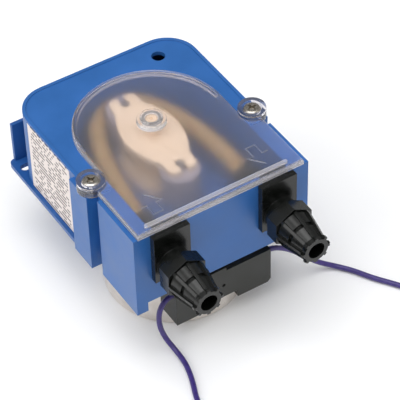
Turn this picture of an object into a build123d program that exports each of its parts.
"""Roller tube pump for dosing liquids, with its geared motor behind it.

Frame: the pump rests on the back of its motor. +Z runs along the rotor's axis
from the motor's back to the clear cover, -Y points to the hose fittings and
+X to the right. The origin is on the rotor's axis, at the motor's back.
Lengths are in millimetres.
"""
from build123d import *
import math
import os

# ---- Driving dimensions -------------------------------------------------
body_width = 96.0          # housing across X
body_top_y = 54.0          # plain end of the housing
hose_wall_y = -62.0        # wall that carries the hose fittings
face_z = 86.2              # face that the clear cover lies on
rim_height = 0.5           # raised edge round that face
rim_width = 1.7
body_rear_z = 43.4         # rear edge of the housing
wall = 2.4                 # moulded wall
corner_radius = 17.0       # the two corners of the plain end

track_radius = 37.8        # bore that the tube is pressed against
cavity_floor_z = 54.7
floor_thickness = 2.5
hose_wall_thickness = 3.2

boss_width_y = 16.0        # screw column on each side
boss_reach = 2.5           # how far it stands out of the side
boss_rear_z = 38.2
screw_inset = 3.2          # cover screws, in from the side of the housing
screw_y = -19.0
column_depth = 4.8         # screw axis to the column's inner face
leg_rear_z = 37.8          # lower tips of the two corner legs
leg_width = 6.0
leg_length = 32.0
groove_depth = 3.6         # vertical groove beside each column
groove_width = 6.0

roller_radius = 9.8
roller_offset = 25.0       # rotor axis to roller axis
roller_low_z = 59.3
roller_high_z = 77.5
pin_radius = 2.5
shaft_radius = 3.0
running_fit = 0.05         # radial clearance of a shaft or pin that turns
end_play = 0.5

tube_od = 9.4
tube_wall = 1.7
tube_arc_z = 68.9          # height of the tube's axis between roller and track
hose_x = 29.5              # hose fittings, either side of the middle
hose_z = 66.4

cover_thickness = 3.2
seat_gap = 0.06            # the cover stands on its ears, this far off the face
cover_side_gap = 2.5       # cover's edge to the side of the housing
cover_round_radius = 38.3
ear_radius = 7.0
ear_below_face = 1.3
ear_above_face = 4.2
cover_shoulder_y = screw_y - 1.0

motor_radius = 36.0
shaft_inset = 20.0         # rotor axis, in from the edge of the motor can
motor_screw_inset = 14.0   # motor screws, in from the can's edge along X and Y
near_screw_inset = 18.0
can_high_z = 41.4
can_wall = 1.0
plate_thickness = 2.0

lead_diameter = 2.7
floor_gap = 0.05           # a lead lies this much above the surface

os.makedirs("parts", exist_ok=True)
nodes = {}


def keep(part, name):
    """Name a finished piece and write its STEP file."""
    part.label = name
    nodes[name] = part
    export_step(part, f"parts/{name}.step")


half_width = body_width / 2
screw_x = half_width - screw_inset
cover_half_width = half_width - cover_side_gap
ear_low_z = face_z - ear_below_face
ear_high_z = face_z + ear_above_face
motor_y = shaft_inset - motor_radius
rim_z = face_z + rim_height
boss_high_y = screw_y + boss_width_y / 2 + 3
boss_low_y = boss_high_y - boss_width_y
groove_low_y = boss_low_y - groove_width
pocket_inner_z = face_z - wall

# ---- Housing ------------------------------------------------------------
trimmer_x, trimmer_y = half_width - 18.4, body_top_y - 11.9
trimmer_hole_radius = 3.5
bush_radius = 6.0
motor_screw_x = motor_radius - motor_screw_inset
motor_screw_places = [
    (side * motor_screw_x, motor_y + reach)
    for reach in (motor_radius - motor_screw_inset, near_screw_inset - motor_radius)
    for side in (1, -1)
]
motor_post_radius = 4.5
motor_screw_radius = 1.5
bracket_screw_x, bracket_screw_y = half_width - 7.0, body_top_y - 24.0
bracket_screw_places = [(bracket_screw_x, bracket_screw_y), (-bracket_screw_x, bracket_screw_y)]
bracket_block = (11.0, 8.0, 16.0)     # block that each bracket screw bites into
bracket_screw_radius = 1.5
board_high_z = 67.7
board_post_radius = 1.8
board_post_places = [(trimmer_x - 8.6, trimmer_y + 3.9), (trimmer_x + 6.7, trimmer_y - 3.9)]
screw_shank_radius = 2.0
screw_length = 16.0
slot_radius = 7.3                     # slot for the neck of each hose fitting

with BuildPart() as pump_housing:
    with BuildSketch(Plane.XY.offset(body_rear_z)) as outline:
        with BuildLine() as half_outline:
            Polyline(
                (0, hose_wall_y),
                (half_width, hose_wall_y),
                (half_width, groove_low_y),
                (half_width - groove_depth, groove_low_y),
                (half_width - groove_depth, boss_low_y),
                (half_width, boss_low_y),
                (half_width, body_top_y - corner_radius),
            )
            RadiusArc(
                (half_width, body_top_y - corner_radius),
                (half_width - corner_radius, body_top_y),
                -corner_radius,
            )
            Line((half_width - corner_radius, body_top_y), (0, body_top_y))
            mirror(about=Plane.YZ)
        make_face()
    extrude(amount=face_z - body_rear_z)
    # hollow behind the face, open to the rear
    with BuildSketch(Plane.XY.offset(body_rear_z)):
        low = hose_wall_y + wall
        inner = half_width - groove_depth - wall
        with Locations((0, (low + boss_high_y) / 2)):
            Rectangle(2 * inner, boss_high_y - low)
        top = body_top_y - wall
        with Locations((0, (top + boss_high_y) / 2)):
            upper = Rectangle(2 * (half_width - wall), top - boss_high_y)
        fillet(upper.vertices().group_by(Axis.Y)[-1], corner_radius - wall)
    extrude(amount=pocket_inner_z - body_rear_z, mode=Mode.SUBTRACT)
    # wall and floor of the pump chamber
    with BuildSketch(Plane.XY.offset(cavity_floor_z - floor_thickness)):
        Circle(track_radius + wall)
        with Locations((0, hose_wall_y / 2)):
            Rectangle(2 * (track_radius + wall), -hose_wall_y)
    extrude(amount=face_z - cavity_floor_z + floor_thickness)
    # screw columns, corner legs and the raised rim
    with BuildSketch(Plane.XY.offset(boss_rear_z)):
        for side in (-1, 1):
            inner_x, outer_x = screw_x - column_depth, half_width + boss_reach
            with Locations((side * (inner_x + outer_x) / 2, (boss_low_y + boss_high_y) / 2)):
                Rectangle(outer_x - inner_x, boss_width_y)
    extrude(amount=ear_low_z - boss_rear_z)
    with BuildSketch(Plane.XY.offset(leg_rear_z)):
        for side in (-1, 1):
            with Locations((side * (half_width - wall / 2), hose_wall_y + leg_length / 2)):
                Rectangle(wall, leg_length)
            with Locations((side * (half_width - leg_width / 2), hose_wall_y + wall / 2)):
                Rectangle(leg_width, wall)
    extrude(amount=body_rear_z - leg_rear_z + 1.0)
    with BuildSketch(Plane.XY.offset(face_z)):
        add(outline.sketch)
        offset(outline.sketch.face(), amount=-rim_width, mode=Mode.SUBTRACT)
        with Locations((0, hose_wall_y + (cover_shoulder_y - hose_wall_y) / 2)):
            Rectangle(
                2 * cover_half_width + 0.3,
                cover_shoulder_y - hose_wall_y + 0.3,
                mode=Mode.SUBTRACT,
            )
    extrude(amount=rim_height)
    # posts that reach back to the motor, the bracket and the speed board
    with BuildSketch(Plane.XY.offset(body_rear_z)):
        with Locations(*motor_screw_places):
            Circle(motor_post_radius)
    extrude(amount=cavity_floor_z - floor_thickness - body_rear_z)
    with BuildSketch(Plane.XY.offset(body_rear_z)):
        with Locations(*bracket_screw_places):
            Rectangle(bracket_block[0], bracket_block[1])
    extrude(amount=bracket_block[2])
    # pump chamber
    with BuildSketch(Plane.XY.offset(cavity_floor_z)):
        Circle(track_radius)
        chamber_low = hose_wall_y + hose_wall_thickness
        with Locations((0, chamber_low / 2)):
            Rectangle(2 * track_radius, -chamber_low)
    extrude(amount=rim_z - cavity_floor_z, mode=Mode.SUBTRACT)
    # seats of the cover's ears, and the screw holes
    with BuildSketch(Plane.XY.offset(ear_low_z)):
        with Locations((screw_x, screw_y), (-screw_x, screw_y)):
            Circle(ear_radius + 0.4)
    extrude(amount=5.0, mode=Mode.SUBTRACT)
    with BuildSketch(Plane.XY.offset(ear_low_z - screw_length)):
        with Locations((screw_x, screw_y), (-screw_x, screw_y)):
            Circle(screw_shank_radius + running_fit)
    extrude(amount=screw_length, mode=Mode.SUBTRACT)
    # slots that the hose fittings drop into
    for side in (-1, 1):
        with BuildSketch(Plane.XZ.offset(-hose_wall_y - hose_wall_thickness - 0.5)):
            with Locations((side * hose_x, hose_z)):
                Circle(slot_radius)
            with Locations((side * hose_x, (hose_z + rim_z) / 2)):
                Rectangle(2 * slot_radius, rim_z - hose_z)
        extrude(amount=hose_wall_thickness + 1.0, mode=Mode.SUBTRACT)
    # bearing seat, motor screws, trimmer hole and bracket screws
    with BuildSketch(Plane.XY.offset(40.0)):
        Circle(bush_radius)
    extrude(amount=20.0, mode=Mode.SUBTRACT)
    with BuildSketch(Plane.XY.offset(cavity_floor_z)):
        with Locations(*motor_screw_places):
            Circle(3.0)
    extrude(amount=-1.6, taper=45, mode=Mode.SUBTRACT)
    with BuildSketch(Plane.XY.offset(body_rear_z)):
        with Locations(*motor_screw_places):
            Circle(motor_screw_radius + running_fit)
    extrude(amount=cavity_floor_z - body_rear_z, mode=Mode.SUBTRACT)
    with BuildSketch(Plane.XY.offset(pocket_inner_z)):
        with Locations((trimmer_x, trimmer_y)):
            Circle(trimmer_hole_radius)
    extrude(amount=wall, mode=Mode.SUBTRACT)
    with BuildSketch(Plane.XY.offset(body_rear_z)):
        with Locations(*bracket_screw_places):
            Circle(bracket_screw_radius)
    extrude(amount=9.0, mode=Mode.SUBTRACT)
    with BuildSketch(Plane.XY.offset(board_high_z)):
        with Locations(*board_post_places):
            Circle(board_post_radius)
    extrude(amount=pocket_inner_z - board_high_z)
keep(pump_housing.part, "pump_housing")

# ---- Bracket at the rear of the housing ---------------------------------
bracket_thickness = 2.5
bracket_half_width = half_width + 2.0
bracket_low_y, bracket_high_y = boss_high_y, body_top_y + 5.0
lip_thickness = 2.0
lip_tall, lip_short = 24.0, 11.5
slot_x, slot_y = half_width - 5.0, body_top_y - 3.5
slot_width, slot_length = 4.6, 9.0
bracket_high_z = body_rear_z - 0.2
bracket_low_z = bracket_high_z - bracket_thickness

with BuildPart() as wall_bracket:
    with BuildSketch(Plane.XY.offset(bracket_low_z)):
        with Locations((0, (bracket_low_y + bracket_high_y) / 2)):
            sheet = Rectangle(2 * bracket_half_width, bracket_high_y - bracket_low_y)
        fillet(sheet.vertices().group_by(Axis.Y)[-1], 3.0)
        with Locations((0, motor_y)):
            Circle(motor_radius + 0.6, mode=Mode.SUBTRACT)
        with Locations((slot_x, slot_y), (-slot_x, slot_y)):
            SlotOverall(slot_length, slot_width, mode=Mode.SUBTRACT)
        with Locations(*bracket_screw_places):
            Circle(bracket_screw_radius + 0.2, mode=Mode.SUBTRACT)
    extrude(amount=bracket_thickness)
    with BuildSketch(Plane.XZ.offset(-bracket_high_y)):
        with BuildLine():
            Polyline(
                (0, bracket_high_z - 0.5),
                (bracket_half_width - 3, bracket_high_z - 0.5),
                (bracket_half_width - 3, bracket_high_z + lip_tall),
                (bracket_half_width - 11, bracket_high_z + lip_tall),
                (bracket_half_width - 11, bracket_high_z + lip_short),
                (0, bracket_high_z + lip_short),
            )
            mirror(about=Plane.YZ)
        lip = make_face()
        fillet(lip.vertices().filter_by_position(Axis.Z, 60, 80), 2.0)
    extrude(amount=lip_thickness)
keep(wall_bracket.part, "wall_bracket")

with BuildPart() as bracket_screws:
    for x, y in bracket_screw_places:
        with BuildSketch(Plane.XY.offset(bracket_low_z)):
            with Locations((x, y)):
                Circle(bracket_screw_radius)
        extrude(amount=10.0)
        with BuildSketch(Plane.XY.offset(bracket_low_z)):
            with Locations((x, y)):
                Circle(3.2)
        extrude(amount=-2.0)
        with BuildSketch(Plane.XY.offset(bracket_low_z - 2.0)):
            with Locations((x, y)):
                Rectangle(4.0, 0.8)
                Rectangle(0.8, 4.0)
        extrude(amount=1.2, mode=Mode.SUBTRACT)
keep(bracket_screws.part, "bracket_screws")

# ---- Clear cover and its screws -----------------------------------------
cover_low_z = face_z + seat_gap
cover_high_z = face_z + cover_thickness
cover_low_y = hose_wall_y
boss_radius, boss_step = 7.5, 2.0          # bearing boss: lower step
boss_ring_radius, boss_height = 5.6, 3.4   # and upper step
bush_pocket_radius = 5.0
cover_rounding = 1.4
bush_pocket_z = cover_high_z + 1.8
groove_line = 0.5
groove_cut = 0.35
arrow_x, arrow_y = 29.2, hose_wall_y + 14.6
screw_cup_radius, screw_cup_depth = 4.9, 2.6

with BuildPart() as front_cover:
    with BuildSketch(Plane.XY.offset(cover_low_z)) as cover_outline:
        Circle(cover_round_radius)
        with Locations((0, cover_low_y / 2)):
            Rectangle(2 * cover_round_radius, -cover_low_y)
        with Locations((0, (cover_low_y + cover_shoulder_y) / 2)):
            Rectangle(2 * cover_half_width, cover_shoulder_y - cover_low_y)
        with Locations((screw_x, screw_y), (-screw_x, screw_y)):
            Circle(ear_radius)
        upper_corners = [
            v for v in cover_outline.sketch.vertices()
            if cover_shoulder_y < v.Y < 0 and abs(abs(v.X) - cover_round_radius) < 2.5
        ]
        fillet(upper_corners, 3.5)
    extrude(amount=cover_high_z - cover_low_z)
    fillet(front_cover.edges().group_by(Axis.Z)[-1], cover_rounding)
    # ears, raised round the screw heads
    with BuildSketch(Plane.XY.offset(ear_low_z)):
        with Locations((screw_x, screw_y), (-screw_x, screw_y)):
            Circle(ear_radius)
    extrude(amount=ear_high_z - ear_low_z)
    with BuildSketch(Plane.XY.offset(ear_high_z - screw_cup_depth)):
        with Locations((screw_x, screw_y), (-screw_x, screw_y)):
            Circle(screw_cup_radius)
    extrude(amount=screw_cup_depth, mode=Mode.SUBTRACT)
    with BuildSketch(Plane.XY.offset(ear_low_z)):
        with Locations((screw_x, screw_y), (-screw_x, screw_y)):
            Circle(screw_shank_radius + 0.25)
    extrude(amount=6.0, mode=Mode.SUBTRACT)
    # locating lip inside the pump chamber
    with BuildSketch(Plane.XY.offset(face_z - 1.5)):
        Circle(track_radius - 0.3)
        Circle(track_radius - 1.7, mode=Mode.SUBTRACT)
        with Locations((0, -50)):
            Rectangle(200, 100, mode=Mode.SUBTRACT)
    extrude(amount=1.5 + seat_gap + 0.1)
    # bearing boss
    with BuildSketch(Plane.XZ):
        with BuildLine():
            Polyline(
                (0, cover_low_z),
                (boss_radius, cover_low_z),
                (boss_radius, cover_high_z + boss_step - 0.6),
                (boss_radius - 0.6, cover_high_z + boss_step),
                (boss_ring_radius, cover_high_z + boss_step),
                (boss_ring_radius, cover_high_z + boss_height - 0.6),
                (boss_ring_radius - 0.6, cover_high_z + boss_height),
                (0, cover_high_z + boss_height),
                close=True,
            )
        make_face()
    revolve(axis=Axis.Z)
    with BuildSketch(Plane.XY.offset(cover_low_z)):
        Circle(bush_pocket_radius)
    extrude(amount=bush_pocket_z - cover_low_z, mode=Mode.SUBTRACT)
    # finger bar along the hose edge
    with BuildSketch(Plane.XY.offset(cover_high_z)):
        with Locations((-1.1, hose_wall_y + 3.0)):
            SlotOverall(78.0, 2.0)
    extrude(amount=1.1)
    # engraved flow arrows
    with BuildSketch(Plane.XY.offset(cover_high_z)):
        for x, direction in ((arrow_x, -1), (-arrow_x, 1)):
            with BuildLine():
                Polyline(
                    (x - 2.5, arrow_y - direction * 6.5),
                    (x - 2.5, arrow_y),
                    (x - 5.2, arrow_y),
                    (x, arrow_y + direction * 7.0),
                    (x + 5.2, arrow_y),
                    (x + 2.5, arrow_y),
                    (x + 2.5, arrow_y - direction * 6.5),
                    close=True,
                )
            trace(line_width=groove_line)
    extrude(amount=-groove_cut, mode=Mode.SUBTRACT)
keep(front_cover.part, "front_cover")

screw_seat_z = ear_high_z - screw_cup_depth
head_height = 2.5
with BuildPart() as cover_screws:
    for side in (-1, 1):
        with BuildSketch(Plane.XY.offset(screw_seat_z)):
            with Locations((side * screw_x, screw_y)):
                Circle(screw_cup_radius - 0.5)
        extrude(amount=head_height)
        top_edges = cover_screws.edges().filter_by(
            lambda e: e.center().Z > screw_seat_z + head_height - 0.1 and e.center().X * side > 0
        )
        fillet(top_edges, 1.6)
        with BuildSketch(Plane.XY.offset(screw_seat_z - screw_length)):
            with Locations((side * screw_x, screw_y)):
                Circle(screw_shank_radius)
        extrude(amount=screw_length)
        with BuildSketch(Plane.XY.offset(screw_seat_z + head_height)):
            with Locations((side * screw_x, screw_y)):
                Rectangle(4.8, 1.1, rotation=10)
                Rectangle(1.1, 4.8, rotation=10)
                Rectangle(2.6, 2.6, rotation=55)
        extrude(amount=-1.9, taper=12, mode=Mode.SUBTRACT)
keep(cover_screws.part, "cover_screws")

# ---- Bearings and shaft --------------------------------------------------
shaft_low_z, shaft_high_z = 22.4, bush_pocket_z - end_play
with BuildPart() as drive_shaft:
    with BuildSketch(Plane.XY.offset(shaft_low_z)):
        Circle(shaft_radius)
    extrude(amount=shaft_high_z - shaft_low_z)
    chamfer(drive_shaft.edges().group_by(Axis.Z)[0], 0.4)
    chamfer(drive_shaft.edges().group_by(Axis.Z)[-1], 0.4)
    with BuildSketch(Plane.XY.offset(shaft_high_z)):
        Circle(1.0)
    extrude(amount=-1.0, taper=30, mode=Mode.SUBTRACT)
keep(drive_shaft.part, "drive_shaft")


def bush(name, radius, low_z, high_z):
    """A plain bearing for the drive shaft."""
    with BuildPart() as sleeve:
        with BuildSketch(Plane.XY.offset(low_z)):
            Circle(radius)
            Circle(shaft_radius + running_fit, mode=Mode.SUBTRACT)
        extrude(amount=high_z - low_z)
        chamfer(sleeve.edges().group_by(Axis.Z)[-1], 0.3)
    keep(sleeve.part, name)


gear_plate_z = 22.0
bush("front_bush", bush_pocket_radius, face_z + 0.3, bush_pocket_z)
bush("chamber_bush", bush_radius, cavity_floor_z - floor_thickness - 0.7, cavity_floor_z + 0.2)
bush("gearbox_bush", 4.5, gear_plate_z, gear_plate_z + 3.6)

# ---- Roller carrier, pins and rollers -----------------------------------
hub_radius = 7.0
carrier_half_width = 14.6
carrier_end_y = 30.3
carrier_end_half_width = 7.4
carrier_neck = (8.1, 20.6)
carrier_high_z = 80.7
carrier_plate = 2.6
base_plate = 3.0
base_low_z = 55.6
notch_radius = pin_radius


def carrier_profile():
    """Eye-shaped plate with an end over each roller."""
    neck_x, neck_y = carrier_neck
    with BuildSketch() as plate:
        with BuildLine():
            ThreePointArc(
                (carrier_half_width, 0),
                (carrier_half_width - 1.8, 10.5),
                (neck_x, neck_y),
            )
            Polyline(
                (neck_x, neck_y),
                (carrier_end_half_width + 0.3, neck_y + 3.5),
                (carrier_end_half_width, carrier_end_y - 1.8),
                (carrier_end_half_width - 2.2, carrier_end_y),
                (0, carrier_end_y),
            )
            mirror(about=Plane.YZ)
            mirror(about=Plane.XZ)
        make_face()
    return plate.sketch


with BuildPart() as carrier_base:
    with BuildSketch(Plane.XY.offset(base_low_z)):
        add(carrier_profile())
    extrude(amount=base_plate)
    with BuildSketch(Plane.XY.offset(base_low_z)):
        Circle(hub_radius)
    extrude(amount=carrier_high_z - carrier_plate - base_low_z)
    with BuildSketch(Plane.XY.offset(base_low_z)):
        Circle(shaft_radius)
    extrude(amount=carrier_high_z - base_low_z, mode=Mode.SUBTRACT)
    with BuildSketch(Plane.XY.offset(base_low_z + 0.8)):
        with Locations((0, roller_offset), (0, -roller_offset)):
            Circle(pin_radius)
    extrude(amount=base_plate, mode=Mode.SUBTRACT)
keep(carrier_base.part, "roller_carrier_base")

with BuildPart() as carrier_top:
    with BuildSketch(Plane.XY.offset(carrier_high_z - carrier_plate)):
        add(carrier_profile())
        Circle(shaft_radius, mode=Mode.SUBTRACT)
        for side in (-1, 1):
            with Locations((0, side * roller_offset)):
                Circle(notch_radius, mode=Mode.SUBTRACT)
            with Locations((0, side * (roller_offset + 5))):
                Rectangle(3.8, 10, mode=Mode.SUBTRACT)
    extrude(amount=carrier_plate)
    fillet(carrier_top.edges().group_by(Axis.Z)[-1], 0.4)
keep(carrier_top.part, "roller_carrier_top")

with BuildPart() as roller_pins:
    for side in (-1, 1):
        with BuildSketch(Plane.XY.offset(base_low_z + 0.8)):
            with Locations((0, side * roller_offset)):
                Circle(pin_radius)
        extrude(amount=carrier_high_z - 0.9 - base_low_z - 0.8)
keep(roller_pins.part, "roller_pins")


def roller(name, side):
    """A flanged acetal roller that runs on its pin."""
    with BuildPart() as wheel:
        with BuildSketch(Plane.XY.offset(roller_low_z)):
            with Locations((0, side * roller_offset)):
                Circle(roller_radius)
                Circle(pin_radius + running_fit, mode=Mode.SUBTRACT)
        extrude(amount=roller_high_z - roller_low_z)
        circles = wheel.edges().filter_by(GeomType.CIRCLE)
        chamfer(circles.filter_by(lambda e: e.radius > pin_radius + 1), 0.6)
    keep(wheel.part, name)


roller("roller_far", 1)
roller("roller_near", -1)

# ---- Pump tube -----------------------------------------------------------
tube_radius = tube_od / 2
socket_bottom_y = hose_wall_y + 10.0
socket_end_y = hose_wall_y + 23.0      # the tube bends from here on
squeezed_height = 12.6
tube_points = [
    (-hose_x, socket_bottom_y, hose_z),
    (-hose_x, socket_end_y, hose_z),
    (-28.0, -16.0, 68.0),
    (-24.6, 4.0, tube_arc_z),
    (-18.0, 24.0, tube_arc_z),
    (-9.6, 36.5, tube_arc_z),
    (9.6, 36.5, tube_arc_z),
    (18.0, 24.0, tube_arc_z),
    (24.6, 4.0, tube_arc_z),
    (28.0, -16.0, 68.0),
    (hose_x, socket_end_y, hose_z),
    (hose_x, socket_bottom_y, hose_z),
]


def corner_radii(points):
    """The largest arc for each corner: 0.45 of its shorter run over tan(half turn)."""
    radii = []
    for a, b, c in zip(points, points[1:], points[2:]):
        before, after = Vector(*b) - Vector(*a), Vector(*c) - Vector(*b)
        half_turn = math.radians(before.get_angle(after)) / 2
        radii.append(0.45 * min(before.length, after.length) / math.tan(half_turn))
    return radii


def route_length(points):
    """Length of the straight runs and arcs through these points."""
    total = 0.0
    for a, b in zip(points, points[1:]):
        total += (Vector(*b) - Vector(*a)).length
    for radius, (a, b, c) in zip(corner_radii(points), zip(points, points[1:], points[2:])):
        turn = math.radians((Vector(*b) - Vector(*a)).get_angle(Vector(*c) - Vector(*b)))
        total -= 2 * radius * math.tan(turn / 2) - radius * turn
    return total


with BuildPart() as pump_tube:
    with BuildLine() as tube_path:
        FilletPolyline(*tube_points, radius=corner_radii(tube_points))
    with BuildSketch(Plane(origin=tube_points[0], z_dir=(0, 1, 0))):
        Circle(tube_radius)
        Circle(tube_radius - tube_wall, mode=Mode.SUBTRACT)
    sweep()
    # squeezed flat between the roller and the track
    with BuildSketch(Plane.XY.offset(tube_arc_z - squeezed_height / 2)):
        with Locations((0, roller_offset)):
            Circle(roller_radius + 0.12)
    extrude(amount=squeezed_height, mode=Mode.SUBTRACT)
    with BuildSketch(Plane.XY.offset(tube_arc_z - squeezed_height / 2)):
        Circle(track_radius - 0.12)
        with Locations((0, roller_offset)):
            Circle(roller_radius + 0.12, mode=Mode.SUBTRACT)
        with Locations((0, roller_offset + roller_radius + 1)):
            Rectangle(16.0, 12.0, mode=Mode.INTERSECT)
    extrude(amount=squeezed_height)
    with BuildSketch(Plane.XY.offset(tube_arc_z - 10)):
        Circle(60)
        Circle(track_radius - 0.12, mode=Mode.SUBTRACT)
        with Locations((0, -60)):
            Rectangle(200, 120, mode=Mode.SUBTRACT)
    extrude(amount=20, mode=Mode.SUBTRACT)
keep(pump_tube.part, "pump_tube")

# ---- Hose fittings and compression nuts ---------------------------------
flange_width = 19.5
flange_low_z = 57.7
flange_out_y = hose_wall_y - 3.4
neck_out_y = flange_out_y - 4.4
hex_out_y = neck_out_y - 7.7
hex_radius = 11.5
spigot_radius = 6.4
nut_in_y = hex_out_y - 0.3
nut_out_y = nut_in_y - 18.2
barb_y = hex_out_y - 9.5
nut_bore = 4.4
nut_ribs = 8
flange_gap = 0.1
neck_radius = 7.1
socket_mouth_y = hose_wall_y + 26.0
socket_step_y = hose_wall_y + 6.0
hose_bore = 2.4


def axial(points, x, mode=Mode.ADD):
    """Revolve a (radius, y) outline about the fitting's axis at this x."""
    with BuildSketch(Plane.XY.offset(hose_z)) as profile:
        with BuildLine():
            Polyline(*[(x + r, y) for r, y in points], close=True)
        make_face()
    revolve(profile.sketch, axis=Axis((x, 0, hose_z), (0, 1, 0)), mode=mode)


def hose_fitting(name, x):
    """Flanged fitting: socket for the pump tube inside, hose barb outside."""
    flange_high_z = face_z - 0.1
    wall_out_y = hose_wall_y - flange_gap
    wall_in_y = chamber_low + flange_gap
    with BuildPart() as fitting:
        with BuildSketch(Plane.XZ.offset(-wall_out_y)):
            with Locations((x, (flange_low_z + flange_high_z) / 2)):
                Rectangle(flange_width, flange_high_z - flange_low_z)
        extrude(amount=wall_out_y - flange_out_y)
        with BuildSketch(Plane.XZ.offset(-wall_in_y - 0.1)):
            with Locations((x, (hose_z + flange_high_z) / 2)):
                Rectangle(2 * neck_radius, flange_high_z - hose_z)
        extrude(amount=wall_in_y - wall_out_y + 0.2)
        axial(
            [
                (0, socket_mouth_y), (6.8, socket_mouth_y), (6.8, socket_step_y), (8.2, socket_step_y),
                (8.2, wall_in_y), (neck_radius, wall_in_y), (neck_radius, flange_out_y),
                (8.6, flange_out_y), (8.6, neck_out_y), (spigot_radius, neck_out_y),
                (spigot_radius, barb_y), (4.2, barb_y), (4.2, barb_y - 0.8), (3.4, barb_y - 3.4),
                (0, barb_y - 3.4),
            ],
            x,
        )
        with BuildSketch(Plane.XZ.offset(-neck_out_y)):
            with Locations((x, hose_z)):
                RegularPolygon(hex_radius, 6, rotation=30)
        extrude(amount=neck_out_y - hex_out_y)
        axial(
            [(0, socket_mouth_y + 1), (tube_radius + 1.3, socket_mouth_y + 1),
             (tube_radius + 0.1, socket_mouth_y - 10), (tube_radius + 0.1, socket_bottom_y),
             (hose_bore, socket_bottom_y),
             (hose_bore, nut_out_y + 1), (0, nut_out_y + 1)],
            x,
            Mode.SUBTRACT,
        )
    keep(fitting.part, name)


hose_fitting("hose_fitting_left", -hose_x)
hose_fitting("hose_fitting_right", hose_x)


def nut_rib(x):
    """Grip rib along the cone of a compression nut, ending in a small knob."""
    with BuildSketch(Plane.XY.offset(hose_z)) as profile:
        with BuildLine():
            Polyline(
                (x + 8.0, nut_in_y), (x + 10.3, nut_in_y), (x + 10.3, nut_in_y - 1.8),
                (x + 7.3, nut_out_y + 2.4), (x + 7.9, nut_out_y + 1.8),
                (x + 7.9, nut_out_y + 0.5), (x + 7.4, nut_out_y), (x + 6.0, nut_out_y),
                (x + 6.0, nut_out_y + 6.0), (x + 7.0, nut_out_y + 8.4),
                close=True,
            )
        make_face()
    return profile


def compression_nut(name, x):
    """Ribbed nut that clamps the outer hose on its barb."""
    with BuildPart() as nut:
        axial(
            [
                (spigot_radius + 0.15, nut_in_y), (9.2, nut_in_y), (8.3, nut_in_y - 6.6),
                (7.2, nut_in_y - 6.6), (7.2, nut_in_y - 8.4), (7.8, nut_in_y - 8.4),
                (6.2, nut_out_y + 2.6), (6.6, nut_out_y + 2.6), (6.5, nut_out_y),
                (nut_bore, nut_out_y), (nut_bore, nut_out_y + 5.5),
                (spigot_radius + 0.15, nut_out_y + 8.0),
            ],
            x,
        )
        rib = nut_rib(x)
        solid = extrude(rib.sketch, amount=0.8, both=True, mode=Mode.PRIVATE)
        axis = Axis((x, 0, hose_z), (0, 1, 0))
        for i in range(nut_ribs):
            add(solid.rotate(axis, 360 / nut_ribs * i))
    keep(nut.part, name)


compression_nut("compression_nut_left", -hose_x)
compression_nut("compression_nut_right", hose_x)

# ---- Rating label on the left side ---------------------------------------
label_thickness = 0.15
label_high_y = body_top_y - corner_radius - 0.5
label_low_y = label_high_y - 40.5
label_low_z, label_high_z = body_rear_z + 0.4, face_z - 1.1
with BuildPart() as side_label:
    with BuildSketch(Plane.YZ.offset(-half_width - label_thickness)):
        with Locations(((label_low_y + label_high_y) / 2, (label_low_z + label_high_z) / 2)):
            Rectangle(label_high_y - label_low_y, label_high_z - label_low_z)
    extrude(amount=label_thickness)
keep(side_label.part, "side_label")

# ---- Speed board and its trimmer -----------------------------------------
board_thickness = 1.6
trimmer_body_radius = 4.0
trimmer_body_high_z = 76.0
trimmer_high_z = 79.5
with BuildPart() as speed_board:
    with BuildSketch(Plane.XY.offset(board_high_z - board_thickness)):
        with Locations((trimmer_x - 1.1, trimmer_y + 0.2)):
            Rectangle(19.0, 12.4)
    extrude(amount=board_thickness)
keep(speed_board.part, "speed_board")

with BuildPart() as trimmer_body:
    with BuildSketch(Plane.XY.offset(board_high_z)):
        with Locations((trimmer_x, trimmer_y)):
            Circle(trimmer_body_radius)
    extrude(amount=trimmer_body_high_z - board_high_z)
    with BuildSketch(Plane.XY.offset(trimmer_body_high_z)):
        with Locations((trimmer_x, trimmer_y)):
            Circle(1.5 + running_fit)
    extrude(amount=-4.0, mode=Mode.SUBTRACT)
keep(trimmer_body.part, "trimmer_body")

with BuildPart() as trimmer_rotor:
    with BuildSketch(Plane.XY.offset(trimmer_body_high_z - 3.8)):
        with Locations((trimmer_x, trimmer_y)):
            Circle(1.5)
    extrude(amount=4.0)
    with BuildSketch(Plane.XY.offset(trimmer_body_high_z + 0.2)):
        with Locations((trimmer_x, trimmer_y)):
            Circle(2.9)
    extrude(amount=trimmer_high_z - trimmer_body_high_z - 0.2)
    with BuildSketch(Plane.XY.offset(trimmer_high_z)):
        with Locations((trimmer_x, trimmer_y)):
            Rectangle(4.6, 0.9, rotation=35)
    extrude(amount=-1.3, mode=Mode.SUBTRACT)
keep(trimmer_rotor.part, "trimmer_rotor")

# ---- Motor can, plates and stator ----------------------------------------
motor_shaft_radius = 1.5
magnet_radius = 11.2
magnet_low_z, magnet_high_z = 4.2, 18.8
coil_inner, coil_outer = 13.4, motor_radius - can_wall - 1.5
coil_low_z, coil_high_z = 3.0, 19.0
window_low_x, window_high_x = -20.0, 24.0
window_low_z, window_high_z = 15.5, 32.0
can_edge_radius = 2.0

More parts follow.
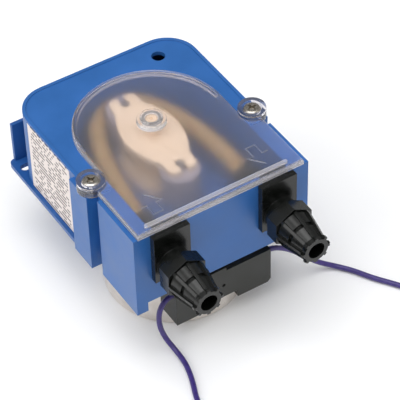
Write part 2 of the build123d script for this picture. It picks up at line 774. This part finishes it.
with BuildPart() as motor_can:
    with BuildSketch(Plane.XY):
        with Locations((0, motor_y)):
            Circle(motor_radius)
    extrude(amount=can_high_z)
    fillet(motor_can.edges().group_by(Axis.Z)[0], can_edge_radius)
    with BuildSketch(Plane.XY.offset(can_wall)):
        with Locations((0, motor_y)):
            Circle(motor_radius - can_wall)
    extrude(amount=can_high_z - can_wall, mode=Mode.SUBTRACT)
    with BuildSketch(Plane.XZ.offset(-motor_y + 20.0)):
        with Locations(((window_low_x + window_high_x) / 2, (window_low_z + window_high_z) / 2)):
            Rectangle(window_high_x - window_low_x, window_high_z - window_low_z)
    extrude(amount=30.0, mode=Mode.SUBTRACT)
keep(motor_can.part, "motor_can")


def disc(name, radius, low_z, high_z, holes):
    """Round plate on the motor's axis, with (x, y, radius) holes."""
    with BuildPart() as plate:
        with BuildSketch(Plane.XY.offset(low_z)):
            with Locations((0, motor_y)):
                Circle(radius)
            for x, y, r in holes:
                with Locations((x, y)):
                    Circle(r, mode=Mode.SUBTRACT)
        extrude(amount=high_z - low_z)
    keep(plate.part, name)


# Two gear stages: motor pinion to idler, idler to output gear.
fine_module, coarse_module = 0.5, 0.8
pinion_teeth, wheel_teeth = 12, 52
small_teeth, output_teeth = 12, 38
pressure_angle = math.radians(25)
backlash = 0.14
centre_fine = fine_module * (pinion_teeth + wheel_teeth) / 2
centre_coarse = coarse_module * (small_teeth + output_teeth) / 2
idler_y = (centre_fine**2 - centre_coarse**2 - motor_y**2) / (-2 * motor_y)
idler_x = math.sqrt(centre_coarse**2 - idler_y**2)
idler_pin_radius = 1.5

motor_screw_holes = [(x, y, motor_screw_radius) for x, y in motor_screw_places]
disc(
    "gear_plate", motor_radius - can_wall - 0.1, gear_plate_z, gear_plate_z + 1.6,
    [(0, 0, 4.5), (0, motor_y, motor_shaft_radius + running_fit), (idler_x, idler_y, idler_pin_radius)],
)
disc(
    "motor_plate", motor_radius, can_high_z, can_high_z + plate_thickness,
    [(0, 0, 4.0), (idler_x, idler_y, idler_pin_radius)] + motor_screw_holes,
)

with BuildPart() as motor_screws:
    for x, y in motor_screw_places:
        with BuildSketch(Plane.XY.offset(can_high_z - 1.5)):
            with Locations((x, y)):
                Circle(motor_screw_radius)
        extrude(amount=cavity_floor_z - can_high_z + 1.5)
        with BuildSketch(Plane.XY.offset(cavity_floor_z - 0.05)):
            with Locations((x, y)):
                Circle(2.9)
        extrude(amount=-1.4, taper=45)
        with BuildSketch(Plane.XY.offset(cavity_floor_z)):
            with Locations((x, y)):
                Rectangle(3.4, 0.7)
                Rectangle(0.7, 3.4)
        extrude(amount=-0.9, mode=Mode.SUBTRACT)
keep(motor_screws.part, "motor_screws")

with BuildPart() as stator_coil:
    with BuildSketch(Plane.XY.offset(coil_low_z)):
        with Locations((0, motor_y)):
            Circle(coil_outer)
            Circle(coil_inner, mode=Mode.SUBTRACT)
    extrude(amount=coil_high_z - coil_low_z)
    with BuildSketch(Plane.XY.offset(coil_low_z + 2.0)):
        with Locations((0, motor_y)):
            Circle(coil_outer + 1)
            Circle(coil_outer - 1.5, mode=Mode.SUBTRACT)
    extrude(amount=coil_high_z - coil_low_z - 4.0, mode=Mode.SUBTRACT)
keep(stator_coil.part, "stator_coil")

with BuildPart() as pole_ring:
    with BuildSketch(Plane.XY.offset(coil_low_z - 0.4)):
        with Locations((0, motor_y)):
            Circle(coil_inner - 0.1)
            Circle(magnet_radius + 0.6, mode=Mode.SUBTRACT)
    extrude(amount=coil_high_z - coil_low_z + 0.8)
    with BuildSketch(Plane.XY.offset(coil_low_z + 2.0)):
        with Locations((0, motor_y)):
            with PolarLocations(coil_inner - 1.0, 12):
                Rectangle(6.0, 1.4)
    extrude(amount=coil_high_z - coil_low_z, mode=Mode.SUBTRACT)
keep(pole_ring.part, "pole_ring")

disc("rotor_bush", 4.0, can_wall, can_wall + 1.8, [(0, motor_y, motor_shaft_radius + running_fit)])

# ---- Motor rotor and gears -----------------------------------------------
pinion_low_z, pinion_high_z = 25.6, 29.6
wheel_low_z, wheel_high_z = 26.0, 29.0
small_high_z = 37.0
output_low_z, output_high_z = 31.0, 35.5


def gear_face(module, teeth, centre, tooth_angle):
    """Involute spur gear outline with one tooth centred at tooth_angle (radians)."""
    pitch = module * teeth / 2
    base = pitch * math.cos(pressure_angle)
    tip, root = pitch + 0.9 * module, pitch - 1.2 * module
    half_pitch_tooth = math.pi / (2 * teeth) - backlash / (4 * pitch)

    def involute(r):
        return math.sqrt((r / base) ** 2 - 1) - math.acos(base / r)

    flank_radii = [max(base, root) + (tip - max(base, root)) * k / 3 for k in range(4)]
    rising = [(root, half_pitch_tooth + involute(pitch))]
    for r in flank_radii:
        rising.append((r, half_pitch_tooth + involute(pitch) - involute(r)))
    points = []
    for i in range(teeth):
        middle = tooth_angle + 2 * math.pi * i / teeth
        for r, a in rising:
            points.append((r, middle - a))
        for r, a in reversed(rising):
            points.append((r, middle + a))
    with BuildSketch() as face:
        with BuildLine():
            Polyline(
                *[(centre[0] + r * math.cos(a), centre[1] + r * math.sin(a)) for r, a in points],
                close=True,
            )
        make_face()
    return face.sketch


to_idler = math.atan2(idler_y - motor_y, idler_x)
to_output = math.atan2(-idler_y, -idler_x)

with BuildPart() as motor_shaft:
    with BuildSketch(Plane.XY.offset(can_wall + 0.3)):
        with Locations((0, motor_y)):
            Circle(motor_shaft_radius)
    extrude(amount=pinion_high_z - can_wall - 0.3)
keep(motor_shaft.part, "motor_shaft")

disc("rotor_magnet", magnet_radius, magnet_low_z, magnet_high_z, [(0, motor_y, motor_shaft_radius)])

with BuildPart() as motor_pinion:
    with BuildSketch(Plane.XY.offset(pinion_low_z)):
        add(gear_face(fine_module, pinion_teeth, (0, motor_y), to_idler))
        with Locations((0, motor_y)):
            Circle(motor_shaft_radius, mode=Mode.SUBTRACT)
    extrude(amount=pinion_high_z - pinion_low_z)
keep(motor_pinion.part, "motor_pinion")

with BuildPart() as idler_gear:
    with BuildSketch(Plane.XY.offset(wheel_low_z)):
        phase = to_idler + math.pi + math.pi / wheel_teeth
        add(gear_face(fine_module, wheel_teeth, (idler_x, idler_y), phase))
    extrude(amount=wheel_high_z - wheel_low_z)
    with BuildSketch(Plane.XY.offset(wheel_high_z)):
        add(gear_face(coarse_module, small_teeth, (idler_x, idler_y), to_output))
    extrude(amount=small_high_z - wheel_high_z)
    with BuildSketch(Plane.XY.offset(wheel_low_z - 1.6)):
        with Locations((idler_x, idler_y)):
            Circle(3.0)
    extrude(amount=1.6)
    with BuildSketch(Plane.XY.offset(gear_plate_z)):
        with Locations((idler_x, idler_y)):
            Circle(idler_pin_radius + running_fit)
    extrude(amount=30.0, mode=Mode.SUBTRACT)
keep(idler_gear.part, "idler_gear")

with BuildPart() as idler_pin:
    with BuildSketch(Plane.XY.offset(gear_plate_z)):
        with Locations((idler_x, idler_y)):
            Circle(idler_pin_radius)
    extrude(amount=can_high_z + plate_thickness - gear_plate_z)
keep(idler_pin.part, "idler_pin")

with BuildPart() as output_gear:
    with BuildSketch(Plane.XY.offset(output_low_z)):
        phase = to_output + math.pi + math.pi / output_teeth
        add(gear_face(coarse_module, output_teeth, (0, 0), phase))
    extrude(amount=output_high_z - output_low_z)
    with BuildSketch(Plane.XY.offset(output_low_z)):
        Circle(6.0)
    extrude(amount=output_high_z - output_low_z + 3.5)
    with BuildSketch(Plane.XY.offset(output_low_z)):
        Circle(shaft_radius)
    extrude(amount=10.0, mode=Mode.SUBTRACT)
keep(output_gear.part, "output_gear")

# ---- Terminal box under the hose wall ------------------------------------
box_low_x, box_high_x = -24.5, 29.6
box_front_y = motor_y - motor_radius - 6.0
box_low_z, box_high_z = 12.7, 34.7
box_wall = 1.8
box_back_y = box_front_y + 15.0
notch_low_x, notch_high_x, notch_high_z = -9.0, 10.5, 17.2
box_middle_x = (box_low_x + box_high_x) / 2
cover_plate = 1.4
lead_exit_y = box_front_y + 4.0
lead_exit_z = 31.4

with BuildPart() as terminal_box:
    with BuildSketch(Plane.XZ.offset(-box_back_y)):
        with Locations((box_middle_x, (box_low_z + box_high_z) / 2)):
            Rectangle(box_high_x - box_low_x, box_high_z - box_low_z)
        with Locations(((notch_low_x + notch_high_x) / 2, (box_low_z + notch_high_z) / 2)):
            Rectangle(notch_high_x - notch_low_x, notch_high_z - box_low_z, mode=Mode.SUBTRACT)
        with Locations(((box_low_x + 4.0) / 2, box_high_z)):
            Rectangle(4.0 - box_low_x, 4.0)
    extrude(amount=box_back_y - box_front_y - cover_plate - 0.05)
    lower_right = terminal_box.edges().filter_by(Axis.Y).filter_by(
        lambda e: e.center().X > box_high_x - 0.1 and e.center().Z < box_low_z + 0.1
    )
    chamfer(lower_right, 1.8)
    with BuildSketch(Plane.XZ.offset(-box_back_y)):
        with Locations((box_middle_x, (notch_high_z + box_high_z) / 2)):
            Rectangle(
                box_high_x - box_low_x - 2 * box_wall, box_high_z - notch_high_z - 2 * box_wall
            )
    extrude(amount=20.0, mode=Mode.SUBTRACT)
    with BuildSketch(Plane.XY.offset(0)):
        with Locations((0, motor_y)):
            Circle(motor_radius + 0.1)
    extrude(amount=60.0, mode=Mode.SUBTRACT)
    with BuildSketch(Plane.YZ.offset(-30.0)):
        with Locations((lead_exit_y, lead_exit_z)):
            Circle(lead_diameter / 2 + 0.35)
    extrude(amount=70.0, mode=Mode.SUBTRACT)
keep(terminal_box.part, "terminal_box")

with BuildPart() as terminal_cover:
    with BuildSketch(Plane.XZ.offset(-box_front_y - cover_plate)):
        with Locations((box_middle_x, (box_low_z + box_high_z) / 2)):
            Rectangle(box_high_x - box_low_x, box_high_z - box_low_z)
        with Locations(((notch_low_x + notch_high_x) / 2, (box_low_z + notch_high_z) / 2)):
            Rectangle(notch_high_x - notch_low_x, notch_high_z - box_low_z, mode=Mode.SUBTRACT)
        with Locations(((box_low_x + 4.0) / 2, box_high_z)):
            Rectangle(4.0 - box_low_x, 4.0)
        with Locations((2.4, 25.1)):
            Circle(0.9, mode=Mode.SUBTRACT)
    extrude(amount=cover_plate)
    lower_right = terminal_cover.edges().filter_by(Axis.Y).filter_by(
        lambda e: e.center().X > box_high_x - 0.1 and e.center().Z < box_low_z + 0.1
    )
    chamfer(lower_right, 1.8)
keep(terminal_cover.part, "terminal_cover")

terminal_length = 9.0
with BuildPart() as lead_terminals:
    for x in (-14.0, 19.0):
        with BuildSketch(Plane.XZ.offset(-box_front_y - 2.6)):
            with Locations((x, lead_exit_z - 4.0)):
                Rectangle(4.8, 0.8)
        extrude(amount=-terminal_length)
        with BuildSketch(Plane.XZ.offset(-box_front_y - 2.6)):
            with Locations((x, lead_exit_z - 2.0)):
                Rectangle(0.8, 4.0)
        extrude(amount=-2.8)
keep(lead_terminals.part, "lead_terminals")

# ---- Free leads ----------------------------------------------------------
# Each lead leaves one end of the terminal box, drops to the surface and runs
# forward to a small coil, and ends in a push-on connector.
lead_floor_z = lead_diameter / 2 + floor_gap
left_route = [
    (-14.5, lead_exit_y, lead_exit_z),
    (-26.0, lead_exit_y, lead_exit_z + 0.2),
    (-32.0, -54.3, 25.5),
    (-33.0, -55.0, 16.0),
    (-31.0, -56.5, 7.0),
    (-28.6, -62.5, lead_floor_z + 0.3),
    (-28.9, -72.0, lead_floor_z),
    (-32.0, -83.0, lead_floor_z + 0.02),
    (-36.6, -93.5, lead_floor_z),
    (-38.8, -104.5, lead_floor_z + 0.02),
    (-39.2, -113.0, lead_floor_z),
]
right_route = [
    (19.5, lead_exit_y, lead_exit_z),
    (31.0, lead_exit_y, lead_exit_z + 0.2),
    (42.0, -54.2, 25.0),
    (51.5, -54.6, 14.5),
    (59.5, -55.6, 6.0),
    (67.5, -59.0, lead_floor_z + 0.3),
    (73.6, -66.5, lead_floor_z),
    (78.6, -76.0, lead_floor_z + 0.02),
    (85.2, -85.2, lead_floor_z),
    (91.0, -94.4, lead_floor_z + 0.02),
    (94.2, -104.0, lead_floor_z),
]
coil_radius = 14.5         # middle of the turns
coil_turns = 1.5
coil_layers = 2            # the turns lie on each other
tail_rise = (0.0, 8.0, 15.5)
connector_length = 16.0
connector_width = 7.4
connector_height = 4.2


def lead(name, route):
    """Straight runs joined by arcs, and the length they add up to."""
    radii = corner_radii(route)
    print(name, "radii", [round(r, 1) for r in radii])
    with BuildPart() as wire:
        with BuildLine():
            FilletPolyline(*route, radius=radii)
        start = Vector(*route[1]) - Vector(*route[0])
        with BuildSketch(Plane(origin=route[0], z_dir=start)):
            Circle(lead_diameter / 2)
        sweep()
    length = route_length(route)
    section = math.pi * lead_diameter**2 / 4
    print(name, "length", round(length, 1), "volume ratio", round(wire.part.volume / section / length, 4))
    keep(wire.part, name)


lead("lead_left", left_route)
lead("lead_right", right_route)


def coil_and_tail(name, route, turn):
    """One and a half turns stacked two high, the tail that leaves them, and its push-on connector."""
    end = Vector(*route[-1])
    before = Vector(*route[-2])
    ahead = Vector(end.X - before.X, end.Y - before.Y, 0).normalized()
    aside = Vector(-ahead.Y, ahead.X, 0) * turn
    centre = end + aside * coil_radius
    with BuildPart() as ring:
        with BuildSketch(Plane.XY.offset(floor_gap)):
            with Locations((centre.X, centre.Y)):
                Circle(coil_radius + lead_diameter / 2)
                Circle(coil_radius - lead_diameter / 2, mode=Mode.SUBTRACT)
        extrude(amount=coil_layers * lead_diameter)
        fillet(ring.edges(), 1.2)
    keep(ring.part, f"{name}_coil")
    top = Vector(centre.X, centre.Y, lead_floor_z + lead_diameter) + aside * coil_radius
    drop = (0.0, -0.7, lead_floor_z - top.Z + 0.7)
    tail = [
        tuple(top - ahead * step + aside * (step / 11.0) + Vector(0, 0, fall))
        for step, fall in zip(tail_rise, drop)
    ]
    with BuildPart() as wire:
        with BuildLine():
            FilletPolyline(*tail, radius=corner_radii(tail))
        with BuildSketch(Plane(origin=tail[0], z_dir=Vector(*tail[1]) - Vector(*tail[0]))):
            Circle(lead_diameter / 2)
        sweep()
    keep(wire.part, f"{name}_tail")
    turns = 2 * math.pi * coil_radius * coil_turns
    total = route_length(route) + turns + route_length(tail)
    print(name, "tail", [tuple(round(v, 1) for v in p) for p in tail], "whole lead", round(total))
    back = Vector(*tail[-1]) - Vector(*tail[-2])
    back = Vector(back.X, back.Y, 0).normalized()
    low = Vector(tail[-1][0], tail[-1][1], floor_gap)
    with BuildPart() as connector:
        with BuildSketch(Plane(origin=low, x_dir=back, z_dir=(0, 0, 1))):
            with Locations((connector_length / 2, 0)):
                Rectangle(connector_length, connector_width)
        extrude(amount=connector_height)
        fillet(connector.edges().filter_by(Axis.Z), 1.2)
        mouth = low + back * connector_length + Vector(0, 0, connector_height / 2)
        with BuildSketch(Plane(origin=mouth, x_dir=Vector(-back.Y, back.X, 0), z_dir=back)):
            Rectangle(6.2, 1.2)
        extrude(amount=-9.0, mode=Mode.SUBTRACT)
    keep(connector.part, f"{name}_connector")


coil_and_tail("lead_left", left_route, -1)
coil_and_tail("lead_right", right_route, 1)
